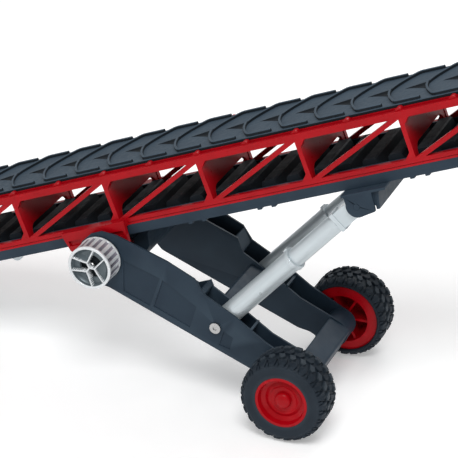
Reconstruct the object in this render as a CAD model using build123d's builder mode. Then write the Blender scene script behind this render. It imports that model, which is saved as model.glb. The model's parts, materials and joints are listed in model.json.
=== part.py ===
from build123d import *
from math import acos, atan2, cos, degrees, hypot, pi, radians, sin, sqrt, tan
import os

# Wheeled belt conveyor for grain, at toy-model size (about 1:16). Millimetres.
# World frame: origin on the ground under the middle of the tail foot, +X towards the
# discharge end, +Y to the far side, +Z up. "near" is the -Y side, "far" is the +Y side.

# ---- driving dimensions -----------------------------------------------------------------
panel = 70.0                      # length of one lattice panel of the boom
boom_pitch = radians(21.1)        # slope of the boom
first_panel, last_panel = -2.5, 5.5
frame_half = 34.4                 # half width over the side frames
chord_depth = 3.4                 # across the boom
chord_height = 4.5
chord_top = 4.35                  # top face of the top chord, square to the boom
chord_bottom = -31.0              # bottom face of the bottom chord
strut_width = 3.0

belt_half = 28.7                  # the belt runs between the side frames
belt_thickness = 2.0
belt_top = 7.1                    # outer face of the carrying run
belt_return = -33.4               # outer face of the return run
rib_height = 2.8
chevron_pitch = 25.4
lug_height = 7.6
lug_pitch = panel / 4
lug_half_width = 25.5             # the drive lugs reach nearly across the belt

ear_radius, ear_w = 2.4, 3.9      # round guide ears beside the belt, one every half panel
tail_drum_u, head_drum_u = -190.0, 405.0

pivot_u, pivot_w = 53.3, -45.6    # arm pivot and knob axis, in the boom's own frame
pin_u, pin_w = 237.5, -46.6       # upper pins of the lift cylinders, in the boom's frame
axle_ahead = 383.0                # wheel axle ahead of the tail foot
arm_length = 150.0                # arm pivot to wheel axle
arm_slope = radians(-24.8)
arm_outer, arm_inner = 43.2, 25.6
arm_wall = 1.5
lower_pin_s, lower_pin_t = 87.7, 1.2    # lower cylinder pins, in the arm's own frame

wheel_radius = 28.6
wheel_inner, wheel_outer = 46.1, 73.9
rim_seat = 23.4                   # tyre seat
rim_lip, rim_back = 16.8, 17.9    # visible edges of the rim, outer and inner side
axle_radius = 2.0
running = 0.05                    # radial clearance of every running fit
gap = 0.05                        # standing gap between pieces that touch

knob_radius = 14.9
knob_front, knob_back = 60.8, 44.2
gear_module, pinion_teeth, gear_teeth = 1.0, 14, 16
roller_radius, roller_axle_radius = 9.2, 1.6

# ---- derived places ---------------------------------------------------------------------
frame_inner = frame_half - chord_depth
belt_inner_top = belt_top - belt_thickness
belt_inner_return = belt_return + belt_thickness
drum_radius = (belt_inner_top - belt_inner_return) / 2
drum_w = (belt_inner_top + belt_inner_return) / 2
tray_floor_top = belt_return - rib_height - 0.4
tray_bottom = tray_floor_top - 1.0
pivot_x = axle_ahead - arm_length * cos(arm_slope)
pivot_z = wheel_radius - arm_length * sin(arm_slope)
# lattice node 0: the underside of the top chord, at the origin of the boom's own frame
boom_x = pivot_x - pivot_u * cos(boom_pitch) + pivot_w * sin(boom_pitch)
boom_z = pivot_z - pivot_u * sin(boom_pitch) - pivot_w * cos(boom_pitch)
truss_start, truss_end = first_panel * panel, last_panel * panel
gear_distance = gear_module * (pinion_teeth + gear_teeth) / 2
roller_u, roller_w = pivot_u + gear_distance, pivot_w


def boom_point(u, y, w):
    """World place of a point u along the boom and w square to it."""
    x = boom_x + u * cos(boom_pitch) - w * sin(boom_pitch)
    return (x, y, boom_z + u * sin(boom_pitch) + w * cos(boom_pitch))


def boom_side(y):
    """Side plane of the boom: x up the boom, y square to it, normal towards -Y."""
    direction = (cos(boom_pitch), 0, sin(boom_pitch))
    return Plane(origin=boom_point(0, y, 0), x_dir=direction, z_dir=(0, -1, 0))


def boom_deck(w):
    """Plane along the boom at height w: x up the boom, y across, normal square to it."""
    direction = (cos(boom_pitch), 0, sin(boom_pitch))
    return Plane(origin=boom_point(0, 0, w), x_dir=direction, z_dir=(-sin(boom_pitch), 0, cos(boom_pitch)))


def boom_section(u):
    """Cross-section plane of the boom at u: x across, y square to the boom."""
    direction = (cos(boom_pitch), 0, sin(boom_pitch))
    return Plane(origin=boom_point(u, 0, 0), x_dir=(0, 1, 0), z_dir=direction)


def arm_point(s, y, t):
    """World place of a point s along the arm from its pivot and t square to it."""
    x = pivot_x + s * cos(arm_slope) - t * sin(arm_slope)
    return (x, y, pivot_z + s * sin(arm_slope) + t * cos(arm_slope))


def arm_side(y):
    """Side plane of the arms: x from pivot to axle, y square to it, normal towards -Y."""
    direction = (cos(arm_slope), 0, sin(arm_slope))
    return Plane(origin=arm_point(0, y, 0), x_dir=direction, z_dir=(0, -1, 0))


lower_pin = arm_point(lower_pin_s, 0, lower_pin_t)
upper_pin = boom_point(pin_u, 0, pin_w)
cylinder_length = hypot(upper_pin[0] - lower_pin[0], upper_pin[2] - lower_pin[2])
cylinder_slope = atan2(upper_pin[2] - lower_pin[2], upper_pin[0] - lower_pin[0])
cylinder_y = (arm_outer + arm_inner) / 2
axle_x, _, axle_z = arm_point(arm_length, 0, 0)


def cylinder_side(y):
    """Side plane of the lift cylinders: x from lower to upper pin, normal towards -Y."""
    direction = (cos(cylinder_slope), 0, sin(cylinder_slope))
    return Plane(origin=(lower_pin[0], y, lower_pin[2]), x_dir=direction, z_dir=(0, -1, 0))


def cylinder_section(distance, y):
    """Plane square to a lift cylinder, a distance from its lower pin, normal to the rod end."""
    x = lower_pin[0] + distance * cos(cylinder_slope)
    z = lower_pin[2] + distance * sin(cylinder_slope)
    normal = (cos(cylinder_slope), 0, sin(cylinder_slope))
    return Plane(origin=(x, y, z), x_dir=(0, 1, 0), z_dir=normal)


def world_side(y):
    """Plane of constant y through the world origin: x along +X, y along +Z."""
    return Plane(origin=(0, y, 0), x_dir=(1, 0, 0), z_dir=(0, -1, 0))


def spin_profile(axis_x, axis_z):
    """Plane for profiles turned about a Y axis: x outwards along +Z, y along +Y."""
    return Plane(origin=(axis_x, 0, axis_z), x_dir=(0, 0, 1), z_dir=(-1, 0, 0))


def strut(start, end, width):
    """Adds a straight bar between two points to the sketch being drawn."""
    along = hypot(end[0] - start[0], end[1] - start[1])
    nx = -(end[1] - start[1]) / along * width / 2
    ny = (end[0] - start[0]) / along * width / 2
    corners = [
        (start[0] + nx, start[1] + ny),
        (end[0] + nx, end[1] + ny),
        (end[0] - nx, end[1] - ny),
        (start[0] - nx, start[1] - ny),
    ]
    Polygon(*corners, align=(Align.NONE, Align.NONE))


def outline(*points):
    """Adds a closed polygon to the sketch being drawn."""
    Polygon(*points, align=(Align.NONE, Align.NONE))


def save(part, label):
    """Labels a finished piece and writes it."""
    part.label = label
    export_step(part, f"parts/{label}.step")


os.makedirs("parts", exist_ok=True)
sides = (("near", -1), ("far", 1))
nodes_u = [panel * k for k in range(-2, 6)]
ears_u = [panel * k / 2 for k in range(-4, 11)]
screw_radius, screw_head_radius = 1.4, 2.5
tail_screws = [(-152.0, -5.0), (-152.0, -22.0), (-166.0, -13.5)]
head_screws = [(360.0, -5.0), (360.0, -22.0), (374.0, -13.5)]

# ---- lattice side frames ----------------------------------------------------------------
top_chord_w = chord_top - chord_height / 2
bottom_chord_w = chord_bottom + chord_height / 2
end_block = 34.0
lug_reach = 8.0                   # frame beyond the drum axle
ear_inner, ear_outer = belt_half + 0.08, frame_half - 1.4
gusset_u, gusset_w = 4.2, 6.3
groove_width, groove_drop = 0.5, 0.7
for side, sign in sides:
    with BuildPart() as side_frame:
        with BuildSketch(boom_side(sign * (frame_half - chord_depth / 2))):
            middle = (truss_start + truss_end) / 2
            with Locations((middle, top_chord_w), (middle, bottom_chord_w)):
                Rectangle(truss_end - truss_start, chord_height)
            for u in nodes_u:
                strut((u, chord_bottom + 1), (u, chord_top - 1), strut_width)
                outline((u, 0.2), (u + strut_width / 2 + gusset_u, 0.2), (u, -gusset_w))
                low = chord_bottom + chord_height - 0.2
                outline((u, low), (u - strut_width / 2 - gusset_u, low), (u, low + gusset_w))
            for u in nodes_u[:-1]:
                strut((u + 1, bottom_chord_w + 1), (u + panel - 1, top_chord_w - 1), strut_width)
            strut((truss_start, bottom_chord_w), (nodes_u[0], top_chord_w), strut_width)
            strut((nodes_u[-1], bottom_chord_w), (truss_end, top_chord_w), strut_width)
            height = chord_top - chord_bottom
            centre_w = (chord_top + chord_bottom) / 2
            with Locations((truss_start + end_block / 2, centre_w), (truss_end - end_block / 2, centre_w)):
                Rectangle(end_block, height)
            for u, out in ((tail_drum_u, -1), (head_drum_u, 1)):
                inner_end = truss_start if out < 0 else truss_end
                with Locations(((u + out * lug_reach + inner_end) / 2, drum_w)):
                    Rectangle(abs(u + out * lug_reach - inner_end) + 0.2, 20.0)
        extrude(amount=chord_depth / 2, both=True)
        with BuildSketch(boom_side(sign * (ear_inner + ear_outer) / 2)):
            with Locations([(u, ear_w) for u in ears_u]):
                Circle(ear_radius)
        extrude(amount=(ear_outer - ear_inner) / 2, both=True)
        # fine groove along the outer face of the bottom chord
        with BuildSketch(boom_side(sign * frame_half)):
            with Locations((middle, bottom_chord_w - groove_drop)):
                Rectangle(truss_end - truss_start - 2 * end_block, groove_width)
        extrude(amount=sign * groove_width, mode=Mode.SUBTRACT)
        with BuildSketch(boom_side(sign * frame_half)):
            with Locations((head_drum_u, drum_w)):
                Circle(axle_radius + running)
            with Locations((tail_drum_u, drum_w)):
                SlotOverall(12.0, 2 * (axle_radius + running))
            with Locations(*tail_screws, *head_screws):
                Circle(screw_radius + gap)
        extrude(amount=3 * chord_depth, both=True, mode=Mode.SUBTRACT)
    save(side_frame.part, f"side_frame_{side}")

# ---- cross frames between the side frames: arches over the return run --------------------
cross_thickness = 2.0
cross_half = frame_inner - gap
cross_top = 0.3
tray_lip = chord_bottom + chord_height        # upper edge of the return tray's inner walls
cross_bottom = tray_lip + gap
arch_top, arch_half = -20.0, 26.8
lug_channel = lug_half_width + 1.0
lug_tip = belt_inner_top - lug_height
with BuildPart() as cross_frames:
    for u in nodes_u:
        with BuildSketch(boom_section(u - cross_thickness / 2)):
            with Locations((0, (cross_top + cross_bottom) / 2)):
                Rectangle(2 * cross_half, cross_top - cross_bottom)
            with Locations((0, arch_top - 10.0)):
                RectangleRounded(2 * arch_half, 20.0, 6.0, mode=Mode.SUBTRACT)
            with Locations((0, cross_top)):
                Rectangle(2 * lug_channel, 2 * (cross_top - lug_tip + 0.8), mode=Mode.SUBTRACT)
        extrude(amount=cross_thickness)
save(cross_frames.part, "cross_frames")

# ---- rails on the cross frames: the edges of the carrying run slide on them ---------------
rail_start, rail_end = nodes_u[0] - 1.0, nodes_u[-1] + 1.0
rail_bottom, rail_top = cross_top + gap, belt_inner_top - gap
with BuildPart() as rails:
    for side, sign in sides:
        with BuildSketch(boom_side(sign * (belt_half + lug_channel) / 2)):
            with Locations(((rail_start + rail_end) / 2, (rail_bottom + rail_top) / 2)):
                Rectangle(rail_end - rail_start, rail_top - rail_bottom)
        extrude(amount=(belt_half - lug_channel) / 2, both=True)
save(rails.part, "belt_rails")

# ---- return tray under the lower run -----------------------------------------------------
tray_start, tray_end = -168.0, 372.0
tray_wall_inner, tray_wall_outer = belt_half + 0.2, frame_inner - gap
tray_shelf = chord_bottom - gap               # the tray's side steps under the bottom chords
slot_half_u, slot_half_y = 7.0, 23.6
with BuildPart() as return_tray:
    with BuildSketch(boom_section(tray_start)):
        with Locations((0, (tray_shelf + tray_bottom) / 2)):
            Rectangle(2 * frame_half, tray_shelf - tray_bottom)
        with Locations((0, (tray_lip + tray_bottom) / 2)):
            Rectangle(2 * tray_wall_outer, tray_lip - tray_bottom)
        with Locations((0, (tray_lip + tray_floor_top) / 2)):
            Rectangle(2 * tray_wall_inner, tray_lip - tray_floor_top, mode=Mode.SUBTRACT)
    extrude(amount=tray_end - tray_start)
    with BuildSketch(boom_deck(tray_bottom)):
        for start in [-130.0, -80.0, 120.0, 170.0, 275.0, 325.0]:
            with Locations((start, 0), (start + 10.0, 0)):
                Rectangle(3.0, 2 * frame_half)
    extrude(amount=-1.2)
    with BuildSketch(boom_deck(tray_bottom)):
        with Locations((roller_u, 0)):
            Rectangle(2 * slot_half_u, 2 * slot_half_y)
    extrude(amount=4.0, both=True, mode=Mode.SUBTRACT)
save(return_tray.part, "return_tray")

# ---- belt: closed loop with chevron ribs outside and drive lugs inside -------------------
loop_start, loop_end = tail_drum_u, head_drum_u
chevron_reach, chevron_tail = 12.0, 14.0      # apex to shoulder, then along the belt edge
chevron_shoulder, chevron_edge = 22.0, 24.6   # half widths at the shoulder and at the tail
rib_width = 1.6


def chevrons(count, first_u, direction):
    """Adds a row of V-shaped ribs to the sketch, apex towards minus direction."""
    for index in range(count):
        u = first_u + index * chevron_pitch
        for hand in (-1, 1):
            apex = (u, 0)
            knee = (u + direction * chevron_reach, hand * chevron_shoulder)
            tail = (u + direction * (chevron_reach + chevron_tail), hand * chevron_edge)
            strut(apex, knee, rib_width)
            strut(knee, tail, rib_width)
            with Locations(knee):
                Circle(rib_width / 2)


chevron_count = int((loop_end - loop_start - 30.0) / chevron_pitch)
lug_count = int((loop_end - loop_start - 20.0) / lug_pitch)
lug_top, lug_base = 0.25 * lug_pitch, 0.25 * lug_pitch + lug_height * tan(radians(22.5))
with BuildPart() as belt:
    with BuildSketch(boom_side(0)):
        for radius, mode in ((drum_radius + belt_thickness, Mode.ADD), (drum_radius, Mode.SUBTRACT)):
            with Locations(((loop_start + loop_end) / 2, drum_w)):
                SlotCenterToCenter(loop_end - loop_start, 2 * radius, mode=mode)
    extrude(amount=belt_half, both=True)
    with BuildSketch(boom_deck(belt_top - 0.1)):
        chevrons(chevron_count, loop_start + 6.0, 1)
    extrude(amount=rib_height + 0.1)
    with BuildSketch(boom_deck(belt_return + 0.1)):
        chevrons(chevron_count, loop_start + 25.0, -1)
    extrude(amount=-rib_height - 0.1)
    with BuildSketch(boom_side(0)):
        for index in range(lug_count):
            u = loop_start + 18.0 + index * lug_pitch
            for face, inward in ((belt_inner_top + 0.1, -1), (belt_inner_return - 0.1, 1)):
                tip = face + inward * (lug_height + 0.1)
                outline((u - lug_base, face), (u + lug_base, face), (u + lug_top, tip), (u - lug_top, tip))
    extrude(amount=lug_half_width, both=True)
save(belt.part, "belt")

# ---- end drums and their axles -----------------------------------------------------------
drum_half = belt_half
for label, u in (("head", head_drum_u), ("tail", tail_drum_u)):
    centre_x, _, centre_z = boom_point(u, 0, drum_w)
    groove_radius = drum_radius - lug_height - 1.0
    surface = drum_radius - gap
    with BuildPart() as drum:
        with BuildSketch(spin_profile(centre_x, centre_z)):
            outline(
                (axle_radius, -drum_half),
                (surface - 0.5, -drum_half),
                (surface, -drum_half + 0.5),
                (surface, -lug_channel),
                (groove_radius, -lug_channel),
                (groove_radius, lug_channel),
                (surface, lug_channel),
                (surface, drum_half - 0.5),
                (surface - 0.5, drum_half),
                (axle_radius, drum_half),
            )
        revolve(axis=Axis((centre_x, 0, centre_z), (0, 1, 0)))
    save(drum.part, f"{label}_drum")
    with BuildPart() as drum_axle:
        with BuildSketch(world_side(0)):
            with Locations((centre_x, centre_z)):
                Circle(axle_radius)
        extrude(amount=frame_half - 0.2, both=True)
        chamfer(drum_axle.edges().filter_by(GeomType.CIRCLE), 0.4)
    save(drum_axle.part, f"{label}_axle")

# ---- end plates outside the side frames --------------------------------------------------
plate_inner, plate_outer = frame_half + gap, frame_half + 2.1
plate_middle, plate_half = (plate_inner + plate_outer) / 2, (plate_outer - plate_inner) / 2
hopper_seat = 12.2
with BuildPart() as tail_plates:
    for side, sign in sides:
        with BuildSketch(boom_side(sign * plate_middle)):
            outline(
                (-143.0, chord_bottom + 1.0),
                (-143.0, hopper_seat - 3.0),
                (-146.0, hopper_seat),
                (-212.0, hopper_seat),
                (-217.0, hopper_seat - 6.0),
                (-217.0, -24.0),
                (-205.0, tray_shelf),
                (tray_start - 0.5, tray_shelf),
                (tray_start - 0.5, chord_bottom + 1.0),
            )
            with Locations(*tail_screws):
                Circle(screw_radius + gap, mode=Mode.SUBTRACT)
            with Locations((tail_drum_u, drum_w)):
                SlotOverall(12.0, 5.0, mode=Mode.SUBTRACT)
        extrude(amount=plate_half, both=True)
save(tail_plates.part, "tail_end_plates")

hood_inner, hood_outer = 26.4, 28.2
with BuildPart() as head_plates:
    for side, sign in sides:
        with BuildSketch(boom_side(sign * plate_middle)):
            outline(
                (352.0, chord_bottom + 1.0),
                (352.0, chord_top),
                (head_drum_u - 10.0, drum_w + hood_outer),
                (head_drum_u, drum_w + hood_outer),
                (head_drum_u, drum_w - hood_outer + 4.0),
                (tray_end + 0.5, chord_bottom + 1.0),
            )
            with Locations((head_drum_u, drum_w)):
                Circle(hood_outer + 1.2)
            with Locations(*head_screws):
                Circle(screw_radius + gap, mode=Mode.SUBTRACT)
            with Locations((head_drum_u, drum_w)):
                Circle(3.2, mode=Mode.SUBTRACT)
            with Locations((head_drum_u - 40.0, drum_w - 30.0)):
                Rectangle(60.0, 22.6, mode=Mode.SUBTRACT)
        extrude(amount=plate_half, both=True)
save(head_plates.part, "head_end_plates")

# ---- discharge hood round the head drum and the belt scraper under it --------------------
with BuildPart() as hood:
    with BuildSketch(boom_side(0)):
        with BuildLine():
            outer = CenterArc((head_drum_u, drum_w), hood_outer, -52, 130)
            inner = CenterArc((head_drum_u, drum_w), hood_inner, -52, 130)
            Line(outer @ 0, inner @ 0)
            Line(outer @ 1, inner @ 1)
        make_face()
    extrude(amount=plate_inner - gap, both=True)
save(hood.part, "discharge_hood")

scraper_u = head_drum_u - 2.0
scraper_tip = belt_return - rib_height - 0.3
with BuildPart() as scraper:
    with BuildSketch(boom_side(0)):
        outline(
            (scraper_u, scraper_tip),
            (scraper_u + 1.2, scraper_tip),
            (scraper_u + 5.0, scraper_tip - 4.6),
            (scraper_u + 3.6, scraper_tip - 5.2),
        )
    extrude(amount=plate_inner - gap, both=True)
save(scraper.part, "belt_scraper")

# ---- screws that hold the end plates -----------------------------------------------------
with BuildPart() as plate_screws:
    for side, sign in sides:
        with BuildSketch(boom_side(sign * plate_outer)):
            with Locations(*tail_screws, *head_screws):
                Circle(screw_radius)
        extrude(amount=sign * (plate_outer - frame_inner - 1.0))
        with BuildSketch(boom_side(sign * plate_outer)):
            with Locations(*tail_screws, *head_screws):
                Circle(screw_head_radius)
        extrude(amount=-sign * 1.2)
        with BuildSketch(boom_side(sign * (plate_outer + 1.2))):
            with Locations(*tail_screws, *head_screws):
                Rectangle(3.4, 0.7)
                Rectangle(0.7, 3.4)
        extrude(amount=sign * 0.7, mode=Mode.SUBTRACT)
save(plate_screws.part, "end_plate_screws")

# ---- feed hopper: open funnel standing on the tail plates --------------------------------
hopper_rim_z = 108.0
rim_x, rim_half_x, rim_half_y = 15.0, 56.0, 50.0
mouth_u, mouth_half_u, mouth_half_y = -176.0, 33.0, 27.5
hopper_wall = 1.8
rim_plane = Plane(origin=(rim_x, 0, hopper_rim_z), x_dir=(1, 0, 0), z_dir=(0, 0, 1))
mouth_plane = boom_deck(hopper_seat + gap)


with BuildPart() as hopper:
    with BuildSketch(mouth_plane):
        with Locations((mouth_u, 0)):
            Rectangle(2 * mouth_half_u + 4.0, 2 * plate_outer)
    extrude(amount=1.5)
    with BuildSketch(rim_plane):
        RectangleRounded(2 * rim_half_x + 5.0, 2 * rim_half_y + 5.0, 3.0)
    extrude(amount=-2.0)
    for shrink, mode in ((0.0, Mode.ADD), (hopper_wall, Mode.SUBTRACT)):
        with BuildSketch(mouth_plane.offset(-shrink / 100)):
            with Locations((mouth_u, 0)):
                Rectangle(2 * (mouth_half_u - shrink), 2 * (mouth_half_y - shrink))
        with BuildSketch(rim_plane.offset(shrink / 100)):
            Rectangle(2 * (rim_half_x - shrink), 2 * (rim_half_y - shrink))
        loft(ruled=True, mode=mode)
save(hopper.part, "feed_hopper")

# ---- tail foot: skid that carries the low end on the ground ------------------------------
foot_half_x = 17.0
foot_inner, foot_outer = plate_outer + gap, plate_outer + 1.8
with BuildPart() as tail_foot:
    with BuildSketch(world_side(0)):
        outline(
            (-foot_half_x, 0),
            (foot_half_x, 0),
            (foot_half_x + 5.0, 2.6),
            (foot_half_x + 3.6, 4.0),
            (foot_half_x - 0.6, 2.0),
            (-foot_half_x + 0.6, 2.0),
            (-foot_half_x - 3.6, 4.0),
            (-foot_half_x - 5.0, 2.6),
        )
    extrude(amount=foot_outer, both=True)
    for side, sign in sides:
        with BuildSketch(world_side(sign * (foot_inner + foot_outer) / 2)):
            outline((-14.0, 0.5), (14.0, 0.5), (9.0, 34.0), (-9.0, 27.0))
        extrude(amount=(foot_outer - foot_inner) / 2, both=True)
save(tail_foot.part, "tail_foot")

# ---- red pivot brackets that carry the arms ----------------------------------------------
bush_radius = 5.0
shaft_radius = 2.5
bracket_inner, bracket_outer = frame_half + 1.7, frame_half + 4.8
for side, sign in sides:
    with BuildPart() as bracket:
        with BuildSketch(boom_side(sign * (bracket_inner + bracket_outer) / 2)):
            outline(
                (28.5, chord_bottom + chord_height),
                (31.0, -39.0),
                (pivot_u - 8.0, pivot_w - 6.5),
                (pivot_u + 8.0, pivot_w - 6.5),
                (74.0, -47.0),
                (76.5, chord_bottom + chord_height),
            )
            with Locations((pivot_u, pivot_w)):
                Circle(10.0)
        extrude(amount=(bracket_outer - bracket_inner) / 2, both=True)
        with BuildSketch(boom_side(sign * (frame_half + gap + bracket_inner) / 2)):
            with Locations((52.5, bottom_chord_w)):
                Rectangle(48.0, chord_height)
        extrude(amount=(bracket_inner - frame_half - gap) / 2 + 0.05, both=True)
        # pockets between the stiffening ribs at both ends
        with BuildSketch(boom_side(sign * bracket_outer)):
            for u, w, length, height in ((36.5, -34.2, 9.0, 3.6), (68.0, -34.2, 11.0, 3.6), (67.5, -40.2, 10.0, 4.4)):
                with Locations((u, w)):
                    Rectangle(length, height)
        extrude(amount=sign * 1.6, mode=Mode.SUBTRACT)
        with BuildSketch(boom_side(sign * frame_half)):
            with Locations((pivot_u, pivot_w)):
                Circle(bush_radius)
        extrude(amount=12.0, both=True, mode=Mode.SUBTRACT)
    save(bracket.part, f"pivot_bracket_{side}")

# bushes fixed in the brackets: the arms turn on them, the knob shaft turns inside them
with BuildPart() as bushes:
    for side, sign in sides:
        bush_end, bush_start = arm_outer + 0.2, arm_inner - 0.5
        with BuildSketch(world_side(sign * (bush_end + bush_start) / 2)):
            with Locations((pivot_x, pivot_z)):
                Circle(bush_radius)
                Circle(shaft_radius + running, mode=Mode.SUBTRACT)
        extrude(amount=(bush_end - bush_start) / 2, both=True)
save(bushes.part, "pivot_bushes")

# ---- drive housing between the arms, in two halves ---------------------------------------
housing_half, housing_wall = arm_inner - 0.6, 1.5
housing_top, housing_floor = tray_bottom - gap, pivot_w - 12.0
for side, sign in sides:
    with BuildPart() as housing:
        for inset, mode in ((0.0, Mode.ADD), (housing_wall, Mode.SUBTRACT)):
            with BuildSketch(boom_side(-sign * inset)):
                left, right = pivot_u - 13.0 + inset, roller_u + 13.0 - inset
                floor, roof = housing_floor + inset, housing_top + inset
                outline(
                    (left, roof),
                    (left, pivot_w - 4.0),
                    (left + 7.0, floor),
                    (right - 8.0, floor),
                    (right - 1.5, pivot_w - 5.0),
                    (right, pivot_w + 2.0),
                    (right + 5.0, roof),
                )
            extrude(amount=-sign * housing_half, mode=mode)
        with BuildSketch(boom_side(0)):
            with Locations((pivot_u, pivot_w)):
                Circle(shaft_radius + running)
            with Locations((roller_u, roller_w)):
                Circle(roller_axle_radius + running)
        extrude(amount=-sign * 1.5 * housing_half, mode=Mode.SUBTRACT)
    save(housing.part, f"drive_housing_{side}")

# ---- gear train: pinion on the knob shaft, gear on the drive roller ----------------------
gear_face = (-16.6, -11.4)


def gear_outline(teeth, phase):
    """Adds a spur gear outline with slim straight-sided teeth, phase in degrees."""
    pitch_radius = gear_module * teeth / 2
    tip, root = pitch_radius + 0.85 * gear_module, pitch_radius - 1.15 * gear_module
    half_pitch = 0.21 * pi * gear_module      # half tooth thickness at the pitch circle
    half_tip, half_root = half_pitch - 0.32 * gear_module, half_pitch + 0.38 * gear_module
    points = []
    for tooth in range(teeth):
        centre = radians(phase + 360.0 * tooth / teeth)
        for radius, half in ((root, -half_root), (tip, -half_tip), (tip, half_tip), (root, half_root)):
            angle = centre + half / radius
            points.append((radius * cos(angle), radius * sin(angle)))
    outline(*points)


gear_middle, gear_half = sum(gear_face) / 2, (gear_face[1] - gear_face[0]) / 2
with BuildPart() as pinion:
    with BuildSketch(boom_side(gear_middle)):
        with Locations((pivot_u, pivot_w)):
            gear_outline(pinion_teeth, 0.0)
            Circle(shaft_radius, mode=Mode.SUBTRACT)
    extrude(amount=gear_half, both=True)
save(pinion.part, "drive_pinion")

with BuildPart() as driven:
    with BuildSketch(boom_side(gear_middle)):
        with Locations((roller_u, roller_w)):
            gear_outline(gear_teeth, 180.0 / gear_teeth)
            Circle(roller_axle_radius, mode=Mode.SUBTRACT)
    extrude(amount=gear_half, both=True)
save(driven.part, "driven_gear")

with BuildPart() as roller:
    roller_start, roller_stop = gear_face[1] + 0.4, housing_half - housing_wall - 0.5
    with BuildSketch(boom_side((roller_start + roller_stop) / 2)):
        with Locations((roller_u, roller_w)):
            Circle(roller_radius)
            Circle(roller_axle_radius, mode=Mode.SUBTRACT)
            with PolarLocations(roller_radius, 18):
                Circle(0.7, mode=Mode.SUBTRACT)
    extrude(amount=(roller_stop - roller_start) / 2, both=True)
save(roller.part, "drive_roller")

with BuildPart() as roller_axle:
    with BuildSketch(boom_side(0)):
        with Locations((roller_u, roller_w)):
            Circle(roller_axle_radius)
    extrude(amount=housing_half - 0.1, both=True)
save(roller_axle.part, "roller_axle")

# ---- hand knob, its face ribs, shaft and far clip ----------------------------------------
flutes = 24
knob_wall, knob_floor = 1.5, knob_back + 8.0
with BuildPart() as knob:
    with BuildSketch(boom_side(-knob_back)):
        with Locations((pivot_u, pivot_w)):
            Circle(knob_radius)
            with PolarLocations(knob_radius + 0.6, flutes):
                Circle(1.3, mode=Mode.SUBTRACT)
            Circle(shaft_radius, mode=Mode.SUBTRACT)
    extrude(amount=knob_front - knob_back)
    with BuildSketch(boom_side(-knob_back)):
        with Locations((pivot_u, pivot_w)):
            Circle(knob_radius)
            Circle(knob_radius - 2.0, mode=Mode.SUBTRACT)
    extrude(amount=1.6)
    with BuildSketch(boom_side(-knob_front)):
        with Locations((pivot_u, pivot_w)):
            Circle(knob_radius)
            Circle(knob_radius - 2.0, mode=Mode.SUBTRACT)
    extrude(amount=-1.2)
    with BuildSketch(boom_side(-knob_floor)):
        with Locations((pivot_u, pivot_w)):
            Circle(knob_radius - knob_wall - 0.6)
            Circle(shaft_radius + 1.6, mode=Mode.SUBTRACT)
    extrude(amount=20.0, mode=Mode.SUBTRACT)
save(knob.part, "knob")

with BuildPart() as knob_ribs:
    rib_reach = knob_radius - knob_wall - 0.6 - gap
    with BuildSketch(boom_side(-knob_floor - gap)):
        with Locations((pivot_u, pivot_w)):
            Circle(rib_reach)
            Circle(rib_reach - 0.9, mode=Mode.SUBTRACT)
            Circle(shaft_radius + 2.6)
            Circle(shaft_radius + 1.6 + gap, mode=Mode.SUBTRACT)
        for third in range(3):
            facing = radians(5.0 + 120.0 * third)
            vertex = (pivot_u + 4.6 * cos(facing), pivot_w + 4.6 * sin(facing))
            for hand in (-1, 1):
                wall = facing + hand * radians(40.0)
                end = (pivot_u + (rib_reach - 0.5) * cos(wall), pivot_w + (rib_reach - 0.5) * sin(wall))
                strut(vertex, end, 1.0)
        with Locations((pivot_u, pivot_w)):
            Circle(shaft_radius + 1.6 + gap, mode=Mode.SUBTRACT)
    extrude(amount=knob_front - knob_floor - 0.8)
save(knob_ribs.part, "knob_face")

with BuildPart() as knob_shaft:
    shaft_near, shaft_far = -(knob_front - 3.0), arm_outer + 2.0
    with BuildSketch(boom_side((shaft_near + shaft_far) / 2)):
        with Locations((pivot_u, pivot_w)):
            Circle(shaft_radius)
    extrude(amount=(shaft_far - shaft_near) / 2, both=True)
    chamfer(knob_shaft.edges().filter_by(GeomType.CIRCLE), 0.4)
save(knob_shaft.part, "knob_shaft")

with BuildPart() as shaft_clip:
    with BuildSketch(boom_side(arm_outer + 1.1)):
        with Locations((pivot_u, pivot_w)):
            Circle(bush_radius + 2.0)
            Circle(shaft_radius, mode=Mode.SUBTRACT)
    extrude(amount=0.7, both=True)
save(shaft_clip.part, "shaft_clip")

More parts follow.
